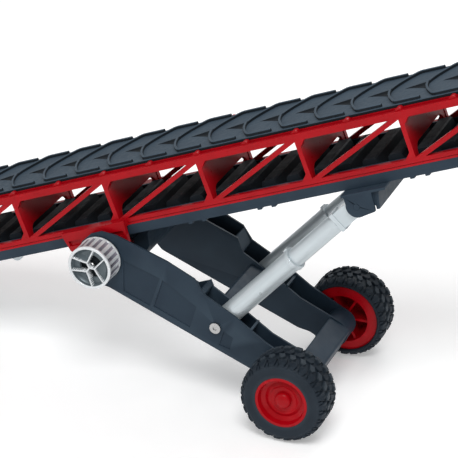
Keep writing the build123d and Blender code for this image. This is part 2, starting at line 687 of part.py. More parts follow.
# ---- channel arms ------------------------------------------------------------------------
axle_end_radius = 10.0
floor_start, floor_end = -16.6, -11.2          # underside of the arms, rising to the axle
for side, sign in sides:
    with BuildPart() as arm:
        # outer wall with its big round head, stepped top edge and round axle end
        with BuildSketch(arm_side(sign * (arm_outer - arm_wall / 2))):
            with BuildLine():
                Polyline(
                    (0, 20.0),
                    (22.0, 22.4),
                    (40.0, 24.2),
                    (61.0, 24.0),
                    (71.0, 17.8),
                    (96.0, 15.8),
                    (120.0, 11.6),
                    (arm_length, axle_end_radius),
                )
                ThreePointArc(
                    (arm_length, axle_end_radius),
                    (arm_length + axle_end_radius, 0),
                    (arm_length, -axle_end_radius),
                )
                Polyline((arm_length, -axle_end_radius), (128.0, floor_end), (14.0, floor_start), (0, -20.0))
                ThreePointArc((0, -20.0), (-20.0, 0), (0, 20.0))
            make_face()
        extrude(amount=arm_wall / 2, both=True)
        # inner wall: low in front so that it passes under the boom
        with BuildSketch(arm_side(sign * (arm_inner + arm_wall / 2))):
            outline(
                (0, 7.0),
                (38.0, 22.0),
                (64.0, 23.5),
                (72.0, 16.0),
                (96.0, 13.4),
                (120.0, 9.4),
                (arm_length, axle_end_radius),
                (arm_length, -axle_end_radius),
                (136.0, -9.0),
                (128.0, floor_end),
                (22.0, floor_start + 0.4),
                (0, -7.0),
            )
            Circle(7.4)
            with Locations((arm_length, 0)):
                Circle(axle_end_radius)
        extrude(amount=arm_wall / 2, both=True)
        # floor, cross webs and closed axle end join the two walls
        with BuildSketch(arm_side(sign * cylinder_y)):
            strut((25.0, floor_start + 1.6), (127.0, floor_end + 1.0), 1.5)
            strut((62.0, 22.4), (70.5, 16.4), 1.5)
            strut((70.3, 16.6), (70.3, floor_end - 1.6), 1.5)
            strut((108.0, 12.4), (108.0, floor_end + 0.6), 1.5)
            strut((126.4, floor_end + 1.1), (arm_length - 5.0, -axle_end_radius + 2.2), 1.5)
            with Locations((arm_length, 0)):
                Circle(axle_end_radius - 0.2)
                Circle(axle_end_radius - 1.8, mode=Mode.SUBTRACT)
                Circle(axle_radius + 2.2)
        extrude(amount=cylinder_y - arm_inner - arm_wall / 2, both=True)
        # recessed panels pressed into the outer face
        with BuildSketch(arm_side(sign * arm_outer)):
            outline((14.5, 7.2), (23.6, -13.2), (43.4, -12.0), (41.0, 10.4))
            outline((43.0, 10.1), (45.8, -10.6), (73.0, -9.6), (70.6, 6.6), (47.0, 10.0))
            outline((93.4, 1.9), (94.9, -9.0), (102.4, -7.4), (100.8, 1.5))
        extrude(amount=sign * 0.5, mode=Mode.SUBTRACT)
        with BuildSketch(arm_side(0)):
            Circle(bush_radius + running)
            with Locations((lower_pin_s, lower_pin_t), (arm_length, 0)):
                Circle(axle_radius)
        extrude(amount=60.0, both=True, mode=Mode.SUBTRACT)
    save(arm.part, f"arm_{side}")

# ---- beams between the arms --------------------------------------------------------------
hub_face = 68.8                   # outer face of the wheel hubs, under their caps
beam_half = arm_inner - gap
with BuildPart() as cross_beam:
    with BuildSketch(arm_side(0)):
        with Locations((87.0, 1.0)):
            RectangleRounded(15.0, 23.0, 2.5)
            RectangleRounded(12.0, 20.0, 1.5, mode=Mode.SUBTRACT)
    extrude(amount=beam_half, both=True)
save(cross_beam.part, "cross_beam")

with BuildPart() as axle_beam:
    with BuildSketch(arm_side(0)):
        with Locations((arm_length + 1.0, 0)):
            RectangleRounded(16.0, 18.0, 1.5)
        with Locations((arm_length, 0)):
            Circle(axle_radius, mode=Mode.SUBTRACT)
    extrude(amount=beam_half, both=True)
save(axle_beam.part, "axle_beam")

with BuildPart() as axle:
    with BuildSketch(world_side(0)):
        with Locations((axle_x, axle_z)):
            Circle(axle_radius)
    extrude(amount=hub_face - gap, both=True)
    chamfer(axle.edges().filter_by(GeomType.CIRCLE), 0.4)
save(axle.part, "wheel_axle")

with BuildPart() as lower_pins:
    for side, sign in sides:
        with BuildSketch(arm_side(sign * (arm_inner + 0.2))):
            with Locations((lower_pin_s, lower_pin_t)):
                Circle(axle_radius)
        extrude(amount=-sign * (arm_outer - arm_inner - 0.1))
        with BuildSketch(arm_side(sign * (arm_outer + gap))):
            with Locations((lower_pin_s, lower_pin_t)):
                Circle(3.7)
                Circle(1.5, mode=Mode.SUBTRACT)
        extrude(amount=-sign * 1.5)
        with BuildSketch(arm_side(sign * (arm_outer + gap))):
            with Locations((lower_pin_s, lower_pin_t)):
                Circle(1.6)
        extrude(amount=-sign * 0.8)
save(lower_pins.part, "cylinder_lower_pins")

# ---- wheels ------------------------------------------------------------------------------
hub_radius, hub_bore = 5.0, axle_radius + running
for side, sign in sides:
    turned = [
        # dish profile from the hub bore outwards: (radius, distance from the centre plane)
        (hub_bore, arm_outer + 0.5),
        (hub_radius, arm_outer + 0.5),
        (hub_radius, 60.0),
        (13.6, 61.0),
        (16.2, 50.0),
        (16.8, 46.8),
        (rim_back, 46.8),
        (rim_seat, 48.2),
        (rim_seat, 72.0),
        (rim_lip, 73.4),
        (rim_lip - 1.3, 73.4),
        (14.6, 70.0),
        (12.0, 68.6),
        (9.8, 69.6),
        (8.6, hub_face),
        (hub_radius + 1.0, hub_face),
        (hub_bore, hub_face),
    ]
    with BuildPart() as rim:
        with BuildSketch(spin_profile(axle_x, axle_z)):
            outline(*[(radius, sign * y) for radius, y in turned])
        revolve(axis=Axis((axle_x, 0, axle_z), (0, 1, 0)))
        with BuildSketch(world_side(sign * 48.6)):
            with Locations((axle_x, axle_z)):
                with PolarLocations(10.2, 6):
                    Rectangle(12.2, 1.6)
        extrude(amount=-sign * 13.0)
    save(rim.part, f"rim_{side}")

    tyre_profile = [
        (rim_seat + gap, 47.9),
        (rim_back + 0.1, wheel_inner + 0.4),
        (rim_seat, wheel_inner),
        (wheel_radius - 2.4, wheel_inner + 1.4),
        (wheel_radius - 0.6, wheel_inner + 3.6),
        (wheel_radius, wheel_inner + 7.0),
        (wheel_radius, wheel_outer - 7.0),
        (wheel_radius - 0.6, wheel_outer - 3.6),
        (wheel_radius - 2.4, wheel_outer - 1.4),
        (rim_seat + 0.4, wheel_outer),
        (rim_lip + 0.1, wheel_outer - 0.3),
        (rim_seat + gap, 72.2),
    ]
    with BuildPart() as tyre:
        with BuildSketch(spin_profile(axle_x, axle_z)):
            outline(*[(radius, sign * y) for radius, y in tyre_profile])
        revolve(axis=Axis((axle_x, 0, axle_z), (0, 1, 0)))
    save(tyre.part, f"tyre_{side}")

    with BuildPart() as hub_cap:
        with BuildSketch(spin_profile(axle_x, axle_z)):
            dome = [(5.4, 70.4), (5.0, 71.4), (4.0, 72.2), (2.2, 72.8), (0, 73.0)]
            back = hub_face + gap
            outline(*[(radius, sign * y) for radius, y in [(0, back), (5.4, back)] + dome])
        revolve(axis=Axis((axle_x, 0, axle_z), (0, 1, 0)))
    save(hub_cap.part, f"hub_cap_{side}")

# ---- lift cylinders ----------------------------------------------------------------------
barrel_radius, barrel_bore, barrel_end = 7.0, 6.2, 75.0
rod_radius, rod_start, rod_end = 6.0, 12.0, 116.0
pin_clearance = 1.2               # open pivot at the rod eye
for side, sign in sides:
    y = sign * cylinder_y
    with BuildPart() as barrel:
        with BuildSketch(cylinder_section(0, y)):
            Circle(barrel_radius)
        extrude(amount=barrel_end - 3.0)
        with BuildSketch(cylinder_side(y)):
            Circle(barrel_radius)
        extrude(amount=4.5, both=True)
        with BuildSketch(cylinder_section(9.0, y)):
            Circle(barrel_bore)
        extrude(amount=barrel_end, mode=Mode.SUBTRACT)
        with BuildSketch(cylinder_side(y)):
            Circle(axle_radius + running)
        extrude(amount=20.0, both=True, mode=Mode.SUBTRACT)
    save(barrel.part, f"cylinder_barrel_{side}")

    with BuildPart() as gland:
        with BuildSketch(cylinder_section(barrel_end - 3.0 + gap, y)):
            Circle(barrel_radius + 0.7)
            with Locations((0, barrel_radius + 0.4)):
                Rectangle(3.0, 1.6)
            Circle(rod_radius + running, mode=Mode.SUBTRACT)
        extrude(amount=3.0)
    save(gland.part, f"cylinder_gland_{side}")

    with BuildPart() as rod:
        with BuildSketch(cylinder_section(rod_start, y)):
            Circle(rod_radius)
            Circle(rod_radius - 1.6, mode=Mode.SUBTRACT)
        extrude(amount=rod_end - rod_start)
    save(rod.part, f"cylinder_rod_{side}")

    with BuildPart() as rod_eye:
        with BuildSketch(cylinder_section(rod_end + gap, y)):
            RectangleRounded(11.4, 13.4, 1.2)
        extrude(amount=3.0)
        with BuildSketch(cylinder_side(y)):
            with Locations((cylinder_length - 9.0, 0)):
                Rectangle(18.0, 11.4)
            with Locations((cylinder_length, 0)):
                Circle(5.7)
        extrude(amount=5.4, both=True)
        with BuildSketch(cylinder_side(y)):
            with Locations((cylinder_length, 0)):
                Circle(axle_radius + pin_clearance)
        extrude(amount=20.0, both=True, mode=Mode.SUBTRACT)
    save(rod_eye.part, f"rod_eye_{side}")

# ---- clevis bracket under the boom for both rod eyes -------------------------------------
clevis_top = tray_bottom - gap
ear_inner_gap, ear_thickness = 6.2, 2.4
with BuildPart() as clevis:
    with BuildSketch(boom_deck(clevis_top)):
        with Locations((pin_u + 7.0, 0)):
            Rectangle(30.0, 2 * (cylinder_y + ear_inner_gap + ear_thickness))
    extrude(amount=-1.6)
    for side, sign in sides:
        for offset in (-1, 1):
            ear_y = sign * cylinder_y + offset * (ear_inner_gap + ear_thickness / 2)
            with BuildSketch(boom_side(ear_y)):
                outline(
                    (pin_u - 6.4, clevis_top),
                    (pin_u - 6.4, pin_w),
                    (pin_u, pin_w - 7.0),
                    (pin_u + 11.0, pin_w - 5.2),
                    (pin_u + 12.6, clevis_top),
                )
                with Locations((pin_u, pin_w)):
                    Circle(7.0)
                    Circle(axle_radius, mode=Mode.SUBTRACT)
            extrude(amount=ear_thickness / 2, both=True)
    with BuildSketch(boom_side(0)):
        rear_w = pin_w - 4.8
        outline(
            (pin_u + 11.4, clevis_top),
            (pin_u + 11.4, rear_w),
            (pin_u + 13.4, rear_w),
            (pin_u + 16.0, rear_w + 10.4),
            (pin_u + 21.4, clevis_top),
        )
    extrude(amount=cylinder_y + ear_inner_gap, both=True)
save(clevis.part, "cylinder_clevis")

with BuildPart() as upper_pins:
    for side, sign in sides:
        reach = ear_inner_gap + ear_thickness
        with BuildSketch(boom_side(sign * cylinder_y)):
            with Locations((pin_u, pin_w)):
                Circle(axle_radius)
        extrude(amount=reach, both=True)
save(upper_pins.part, "cylinder_upper_pins")

# ---- tow bar folded under the boom, its bracket and pin ----------------------------------
tow_u, tow_w = -34.0, -45.0
tow_length, tow_half, tow_thickness = 112.0, 5.0, 5.0
lug_width, fork_reach = 2.0, 9.0
with BuildPart() as tow_bracket:
    with BuildSketch(boom_side(0)):
        outline((tow_u - 8.0, clevis_top), (tow_u - 3.5, tow_w), (tow_u + 3.5, tow_w), (tow_u + 8.0, clevis_top))
        with Locations((tow_u, tow_w)):
            Circle(3.5)
            Circle(1.5, mode=Mode.SUBTRACT)
    extrude(amount=lug_width, both=True)
save(tow_bracket.part, "tow_bracket")

with BuildPart() as tow_pin:
    with BuildSketch(boom_side(0)):
        with Locations((tow_u, tow_w)):
            Circle(1.5)
    extrude(amount=tow_half + 0.6, both=True)
save(tow_pin.part, "tow_pin")

eye_radius, eye_bore = 7.0, 3.0
with BuildPart() as tow_bar:
    with BuildSketch(boom_side(0)):
        with Locations((tow_u - tow_length / 2, tow_w)):
            Rectangle(tow_length, tow_thickness)
        with Locations((tow_u, tow_w)):
            Circle(4.8)
    extrude(amount=tow_half, both=True)
    with BuildSketch(boom_deck(tow_w)):
        with Locations((tow_u - tow_length, 0)):
            Circle(eye_radius)
    extrude(amount=tow_thickness / 2, both=True)
    with BuildSketch(boom_deck(tow_w)):
        with Locations((tow_u - tow_length, 0)):
            Circle(eye_bore)
        with Locations((tow_u, 0)):
            Rectangle(2 * fork_reach, 2 * (lug_width + 0.2))
    extrude(amount=10.0, both=True, mode=Mode.SUBTRACT)
    with BuildSketch(boom_side(0)):
        with Locations((tow_u, tow_w)):
            Circle(1.5 + running)
    extrude(amount=20.0, both=True, mode=Mode.SUBTRACT)
save(tow_bar.part, "tow_bar")
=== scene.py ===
import json
import math
import bpy
import bmesh
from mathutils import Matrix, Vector


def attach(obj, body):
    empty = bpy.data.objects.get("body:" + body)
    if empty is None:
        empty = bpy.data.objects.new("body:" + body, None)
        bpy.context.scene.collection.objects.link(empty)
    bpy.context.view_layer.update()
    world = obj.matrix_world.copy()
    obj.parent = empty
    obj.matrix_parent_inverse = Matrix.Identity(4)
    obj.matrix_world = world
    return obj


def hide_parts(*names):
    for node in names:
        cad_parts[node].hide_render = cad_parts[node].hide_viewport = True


# Looks of a wheeled belt conveyor at toy-model size. Lengths are metres; "near" is -Y.
# The CAD nodes keep their shapes and get materials and rounded edges. The belt, the tyres,
# the knob and the two arms are replaced by more detailed pieces.
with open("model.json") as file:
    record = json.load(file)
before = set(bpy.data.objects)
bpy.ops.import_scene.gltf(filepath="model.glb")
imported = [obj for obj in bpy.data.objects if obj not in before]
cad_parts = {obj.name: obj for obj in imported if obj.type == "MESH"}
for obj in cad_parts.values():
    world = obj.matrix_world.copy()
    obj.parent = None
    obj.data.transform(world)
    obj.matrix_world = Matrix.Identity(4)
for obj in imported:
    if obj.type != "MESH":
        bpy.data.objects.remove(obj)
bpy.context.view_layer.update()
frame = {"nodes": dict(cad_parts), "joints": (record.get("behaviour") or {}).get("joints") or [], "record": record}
nodes = frame["nodes"]
joints = {j["name"]: j for j in frame["joints"]}
mm = 0.001

# ---- places taken from the frame ---------------------------------------------------------
tail = Vector(joints["tail_drum_turn"]["pos_m"])
head = Vector(joints["head_drum_turn"]["pos_m"])
pivot = Vector(joints["boom_tilt"]["pos_m"])
axle = Vector(joints["wheel_near_spin"]["pos_m"])
along = (head - tail).normalized()
above = Vector((-along.z, 0, along.x))
drum_span = (head - tail).length

# ---- belt --------------------------------------------------------------------------------
belt_half = 28.7 * mm
belt_thickness = 2.0 * mm
belt_outer = 20.25 * mm           # drum centre to the outer face of the belt
belt_mid = belt_outer - belt_thickness / 2
loop_length = 2 * drum_span + 2 * math.pi * belt_mid
chevron_count = 52
chevron_pitch = loop_length / chevron_count
chevron_phase = 1.0 * mm
rib_height, rib_half = 1.9 * mm, 0.75 * mm
wedge_length, wedge_half = 16.0 * mm, 9.0 * mm
tooth_count = 75
tooth_height, tooth_half_width = 7.6 * mm, 25.5 * mm
embed = 0.2 * mm                  # how far ribs and teeth reach into the band


# ======================================================================== materials
def link(tree, a, out, b, into):
    tree.links.new(a.outputs[out], b.inputs[into])


def material(name, colour, dark, light, rough=0.5, spread=0.12, metallic=0.0, grain=900.0, bump=0.15,
             wear=0.35, coat=0.0, mottling=60.0, specular=0.5):
    """Moulded surface: mottled colour, fine grain, uneven gloss and paler worn edges."""
    m = bpy.data.materials.new(name)
    m.use_nodes = True
    tree = m.node_tree
    shader = tree.nodes["Principled BSDF"]
    place = tree.nodes.new("ShaderNodeTexCoord")
    cloud = tree.nodes.new("ShaderNodeTexNoise")
    cloud.inputs["Scale"].default_value = mottling
    cloud.inputs["Detail"].default_value = 5.0
    link(tree, place, "Object", cloud, "Vector")
    blend = tree.nodes.new("ShaderNodeMix")
    blend.data_type = "RGBA"
    blend.inputs[6].default_value = (*dark, 1)
    blend.inputs[7].default_value = (*colour, 1)
    ramp = tree.nodes.new("ShaderNodeMapRange")
    ramp.inputs["From Min"].default_value = 0.3
    ramp.inputs["From Max"].default_value = 0.6
    link(tree, cloud, "Fac", ramp, "Value")
    link(tree, ramp, "Result", blend, 0)
    shape = tree.nodes.new("ShaderNodeNewGeometry")
    edge = tree.nodes.new("ShaderNodeMapRange")
    edge.inputs["From Min"].default_value = 0.515
    edge.inputs["From Max"].default_value = 0.60
    edge.inputs["To Max"].default_value = wear
    link(tree, shape, "Pointiness", edge, "Value")
    worn = tree.nodes.new("ShaderNodeMix")
    worn.data_type = "RGBA"
    worn.inputs[7].default_value = (*light, 1)
    link(tree, edge, "Result", worn, 0)
    link(tree, blend, 2, worn, 6)
    link(tree, worn, 2, shader, "Base Color")
    gloss = tree.nodes.new("ShaderNodeMapRange")
    gloss.inputs["From Min"].default_value = 0.25
    gloss.inputs["From Max"].default_value = 0.75
    gloss.inputs["To Min"].default_value = max(0.02, rough - spread)
    gloss.inputs["To Max"].default_value = min(1.0, rough + spread)
    streak = tree.nodes.new("ShaderNodeTexNoise")
    streak.inputs["Scale"].default_value = mottling * 4
    streak.inputs["Detail"].default_value = 3.0
    link(tree, place, "Object", streak, "Vector")
    link(tree, streak, "Fac", gloss, "Value")
    link(tree, gloss, "Result", shader, "Roughness")
    fine = tree.nodes.new("ShaderNodeTexNoise")
    fine.inputs["Scale"].default_value = grain
    fine.inputs["Detail"].default_value = 2.0
    link(tree, place, "Object", fine, "Vector")
    relief = tree.nodes.new("ShaderNodeBump")
    relief.inputs["Strength"].default_value = bump
    relief.inputs["Distance"].default_value = 0.2 * mm
    link(tree, fine, "Fac", relief, "Height")
    link(tree, relief, "Normal", shader, "Normal")
    shader.inputs["Metallic"].default_value = metallic
    shader.inputs["Specular IOR Level"].default_value = specular
    shader.inputs["Coat Weight"].default_value = coat
    shader.inputs["Coat Roughness"].default_value = 0.15
    m.diffuse_color = (*colour, 1)
    return m


red = material(
    "red_plastic", (0.38, 0.0010, 0.0060), (0.31, 0.0008, 0.0045), (0.52, 0.010, 0.020),
    rough=0.32, spread=0.06, coat=0.04, wear=0.3, bump=0.03, specular=0.14,
)
slate = material(
    "dark_plastic", (0.022, 0.037, 0.055), (0.017, 0.029, 0.045), (0.06, 0.09, 0.12),
    rough=0.46, spread=0.08, wear=0.4, bump=0.08, grain=1400.0, specular=0.14,
)
silver = material(
    "silver_plastic", (0.55, 0.61, 0.64), (0.49, 0.55, 0.58), (0.78, 0.82, 0.84),
    rough=0.32, spread=0.05, metallic=0.35, wear=0.35, bump=0.015, mottling=25.0,
)
pale = material(
    "knob_plastic", (0.70, 0.73, 0.75), (0.63, 0.66, 0.68), (0.88, 0.89, 0.90),
    rough=0.30, spread=0.06, metallic=0.2, wear=0.5, bump=0.02, mottling=25.0,
)
# darker grey for the knob's recessed dishes: painted shade
knob_dish_shade = material(
    "knob_dish_painted_shade", (0.12, 0.15, 0.165), (0.08, 0.105, 0.12), (0.30, 0.33, 0.35),
    rough=0.34, spread=0.06, metallic=0.3, wear=0.3, bump=0.02, mottling=25.0,
)
# darker grey for the bottoms of the rim's flutes: painted shade
knob_flute_shade = material(
    "knob_flute_painted_shade", (0.30, 0.29, 0.34), (0.23, 0.23, 0.27), (0.55, 0.55, 0.58),
    rough=0.30, spread=0.06, metallic=0.4, wear=0.3, bump=0.02, mottling=25.0,
)
# near black for the knob's deep centre: painted shade
knob_pocket_shade = material(
    "knob_pocket_painted_shade", (0.012, 0.018, 0.022), (0.008, 0.012, 0.015), (0.04, 0.05, 0.06),
    rough=0.55, spread=0.1, wear=0.2, bump=0.06, specular=0.14,
)
belt_rubber = material(
    "belt_rubber", (0.034, 0.055, 0.078), (0.026, 0.043, 0.063), (0.10, 0.14, 0.18),
    rough=0.52, spread=0.10, wear=0.35, bump=0.14, grain=1500.0, mottling=90.0, specular=0.16,
)
# a darker copy of the belt rubber: painted shade on the belt's edges, inner face, rib sides, fin flanks, teeth and
# cut ends
belt_painted_shade = material(
    "belt_rubber_painted_shade", (0.006, 0.009, 0.013), (0.004, 0.006, 0.008), (0.03, 0.04, 0.05),
    rough=0.6, spread=0.1, wear=0.25, bump=0.12, grain=1500.0, specular=0.12,
)
tyre_rubber = material(
    "tyre_rubber", (0.016, 0.024, 0.034), (0.010, 0.016, 0.024), (0.05, 0.065, 0.08),
    rough=0.58, spread=0.10, wear=0.5, bump=0.2, grain=1600.0, specular=0.16,
)
roller_rubber = material(
    "roller_rubber", (0.02, 0.022, 0.024), (0.012, 0.013, 0.015), (0.06, 0.06, 0.065),
    rough=0.7, spread=0.1, wear=0.3, bump=0.3,
)
steel = material(
    "steel", (0.50, 0.50, 0.50), (0.42, 0.42, 0.42), (0.7, 0.7, 0.7),
    rough=0.28, spread=0.07, metallic=1.0, wear=0.4, bump=0.04,
)
gear_plastic = material(
    "gear_plastic", (0.50, 0.48, 0.43), (0.42, 0.40, 0.36), (0.65, 0.64, 0.60),
    rough=0.45, spread=0.1, wear=0.3, bump=0.10,
)
finish = {
    "red_plastic": red,
    "dark_plastic": slate,
    "silver_plastic": silver,
    "belt_rubber": belt_rubber,
    "tyre_rubber": tyre_rubber,
    "roller_rubber": roller_rubber,
    "steel": steel,
    "gear_plastic": gear_plastic,
}


# ======================================================================== mesh helpers
def new_piece(name, vertices, faces, materials, indices=None, smooth=True):
    """A mesh object with its materials; indices gives each face's material."""
    mesh = bpy.data.meshes.new(name)
    mesh.from_pydata(vertices, [], faces)
    for m in materials:
        mesh.materials.append(m)
    if indices:
        mesh.polygons.foreach_set("material_index", indices)
    mesh.polygons.foreach_set("use_smooth", [smooth] * len(mesh.polygons))
    mesh.update()
    piece = bpy.data.objects.new(name, mesh)
    bpy.context.scene.collection.objects.link(piece)
    return piece


def soften(piece, width, steps, angle):
    """Rounded moulded edges on a piece."""
    join = piece.modifiers.new("weld", "WELD")
    join.merge_threshold = 0.002 * mm
    bevel = piece.modifiers.new("rounded edges", "BEVEL")
    bevel.width = width
    bevel.segments = steps
    bevel.limit_method = "ANGLE"
    bevel.angle_limit = math.radians(angle)
    bevel.use_clamp_overlap = True
    bevel.harden_normals = True


def boom_point(u, y, w):
    """World point: u from the tail drum along the boom, w square to it from the drum centre."""
    p = tail + along * u + above * w
    return Vector((p.x, y, p.z))


def loop_point(s, y, h):
    """World point on the belt: s along the loop, y across, h out from the outer face."""
    s = s % loop_length
    half_turn = math.pi * belt_mid
    radius = belt_outer + h
    if s < drum_span:
        return boom_point(s, y, radius)
    s -= drum_span
    if s < half_turn:
        a = s / belt_mid
        return boom_point(drum_span + radius * math.sin(a), y, radius * math.cos(a))
    s -= half_turn
    if s < drum_span:
        return boom_point(drum_span - s, y, -radius)
    a = (s - drum_span) / belt_mid
    return boom_point(-radius * math.sin(a), y, -radius * math.cos(a))


# ======================================================================== belt
vertices, faces, indices = [], [], []


def sweep(path, section, place, closed=False, marks=None):
    """Adds a section swept along a path of (s, y, normal) stations to the running lists."""
    start, count = len(vertices), len(section)
    for station in path:
        for point in section:
            vertices.append(place(station, point))
    steps = len(path) if closed else len(path) - 1
    for i in range(steps):
        a, b = start + i * count, start + ((i + 1) % len(path)) * count
        for j in range(count):
            k = (j + 1) % count
            faces.append((a + j, b + j, b + k, a + k))
            indices.append(marks[j] if marks else 0)
    if not closed:
        faces.append(tuple(start + j for j in range(count)))
        faces.append(tuple(start + (len(path) - 1) * count + j for j in reversed(range(count))))
        # the two end caps take the second material, which on the belt is the painted shade
        indices.extend((1, 1))


# the band itself; its two edges and its inner face take the second material, painted shade
station_count = 300
stations = [loop_length * i / station_count for i in range(station_count)]
edge_round = 0.35 * mm
band = [
    (-belt_half, -belt_thickness + edge_round),
    (-belt_half, -edge_round),
    (-belt_half + edge_round, 0),
    (belt_half - edge_round, 0),
    (belt_half, -edge_round),
    (belt_half, -belt_thickness + edge_round),
    (belt_half - edge_round, -belt_thickness),
    (-belt_half + edge_round, -belt_thickness),
]
sweep(stations, band, lambda s, p: loop_point(s, p[0], p[1]), closed=True, marks=[1, 0, 0, 0, 1, 1, 1, 1])

# curved chevron ribs with their tails along the belt edges
corner_y, tail_y = 25.6 * mm, 26.3 * mm
corner_s, tail_s = 11.3 * mm, 28.3 * mm
curve_steps, curve_power = 8, 1.6
curve = []
for i in range(curve_steps + 1):
    y = corner_y * 0.97 * i / curve_steps
    curve.append((corner_s * (y / corner_y) ** curve_power, y))
half_path = curve + [
    (corner_s + 0.7 * mm, corner_y + 0.2 * mm),
    (corner_s + 2.0 * mm, tail_y),
    (tail_s, tail_y),
]
rib_path = [(s, -y) for s, y in reversed(half_path)] + half_path[1:]
rib_section = [
    (-rib_half * 1.15, -0.3 * mm),
    (-rib_half, rib_height - 0.4 * mm),
    (-rib_half + 0.35 * mm, rib_height),
    (rib_half - 0.35 * mm, rib_height),
    (rib_half, rib_height - 0.4 * mm),
    (rib_half * 1.15, -0.3 * mm),
]


def rib_stations(path):
    """Stations (s, y, ns, ny) with the mitred normal at each point of a path."""
    out = []
    for i, (s, y) in enumerate(path):
        before = path[max(i - 1, 0)]
        after = path[min(i + 1, len(path) - 1)]
        ds, dy = after[0] - before[0], after[1] - before[1]
        length = math.hypot(ds, dy)
        out.append((s, y, -dy / length, ds / length))
    return out


rib = rib_stations(rib_path)
fin_steps, fin_overlap = 6, 0.8 * mm
# fin section as shares of its half width and height
fin_section = [(-1.0, 0.0), (-0.45, 0.35), (-0.12, 1.0), (0.12, 1.0), (0.45, 0.35), (1.0, 0.0)]
for index in range(chevron_count):
    apex = index * chevron_pitch + chevron_phase
    # the rib's sides and underside take the painted shade, its top the plain belt rubber
    sweep(
        rib,
        rib_section,
        lambda st, p, a=apex: loop_point(a + st[0] + st[2] * p[0], st[1] + st[3] * p[0], p[1]),
        marks=[1, 0, 0, 0, 1, 1],
    )
    # tapering fin that climbs to the apex of the chevron; all but its top face take the painted shade
    fin = []
    for i in range(fin_steps + 1):
        t = i / fin_steps
        fin.append((apex - wedge_length * (1 - t) + fin_overlap * t, t))
    sweep(
        fin,
        fin_section,
        lambda st, p: loop_point(
            st[0],
            p[0] * (0.5 * mm + wedge_half * st[1] ** 1.2),
            -0.15 * mm + p[1] * (rib_height * 0.95 * st[1] ** 0.9 + 0.16 * mm),
        ),
        marks=[1, 1, 0, 1, 1, 1],
    )

# drive teeth on the inside, coloured all over with the painted shade
tooth_pitch = loop_length / tooth_count
tooth_base, tooth_tip = 0.36 * tooth_pitch, 0.24 * tooth_pitch
for index in range(tooth_count):
    middle = (index + 0.5) * tooth_pitch
    rows = [
        (-tooth_base, embed),
        (-tooth_tip - 0.3 * mm, -tooth_height + 0.8 * mm),
        (-tooth_tip + 0.6 * mm, -tooth_height),
        (tooth_tip - 0.6 * mm, -tooth_height),
        (tooth_tip + 0.3 * mm, -tooth_height + 0.8 * mm),
        (tooth_base, embed),
    ]
    sweep(
        [-tooth_half_width, tooth_half_width],
        rows,
        lambda y, p, m=middle: loop_point(m + p[0], y, p[1] - belt_thickness),
        marks=[1] * 6,
    )

belt = new_piece("belt_detailed", vertices, faces, [belt_rubber, belt_painted_shade], indices, smooth=False)
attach(belt, "boom")
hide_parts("belt")


# ======================================================================== tyres
tyre_radius = 28.6 * mm
tread_depth = 1.6 * mm
tyre_middle = 60.0 * mm
tread_half = 13.9 * mm
flat_half = 8.5 * mm              # half width of the flat middle of the tread
shoulder_drop = 2.6 * mm


def crown(dy):
    """Radius of the carcass at a distance dy from the tyre's middle plane."""
    over = max(0.0, abs(dy) - flat_half) / (tread_half - flat_half)
    return tyre_radius - tread_depth - shoulder_drop * over ** 2.2


def wheel_point(angle, radius, y):
    return Vector((axle.x + radius * math.sin(angle), y, axle.z + radius * math.cos(angle)))


def block(outline, angle, sign, height):
    """Adds one tread block: outline points are (distance round the tyre, across)."""
    start, count = len(vertices), len(outline)
    centre_a = sum(p[0] for p in outline) / count
    centre_y = sum(p[1] for p in outline) / count
    # foot inside the carcass, upper edge, and top face drawn in by a rounded edge
    for inset, lift in ((1.0, -0.5 * mm), (0.98, height - 0.35 * mm), (0.86, height)):
        for a, y in outline:
            a, y = centre_a + (a - centre_a) * inset, centre_y + (y - centre_y) * inset
            radius = crown(y) + lift
            vertices.append(wheel_point(angle + a / tyre_radius, radius, sign * (tyre_middle + y)))
    for level in (0, 1):
        a, b = start + level * count, start + (level + 1) * count
        for j in range(count):
            k = (j + 1) % count
            faces.append((a + j, a + k, b + k, b + j))
            indices.append(0)
    faces.append(tuple(start + 2 * count + j for j in range(count)))
    faces.append(tuple(start + j for j in reversed(range(count))))
    indices.extend((0, 0))


blocks_round = 25
segments = 120
sides = (("near", -1), ("far", 1))
# carcass section in millimetres: radius, distance from the machine's middle plane
carcass = [
    (23.46, 72.0), (17.3, 73.3), (17.6, 73.7), (20.0, 73.9), (23.6, 73.85), (25.2, 73.3), (26.0, 72.2),
    (26.8, 69.6), (27.0, 67.0), (27.0, 60.0), (27.0, 53.0), (26.8, 50.4), (26.0, 47.8), (25.2, 46.7),
    (24.4, 46.2), (23.5, 46.9),
]
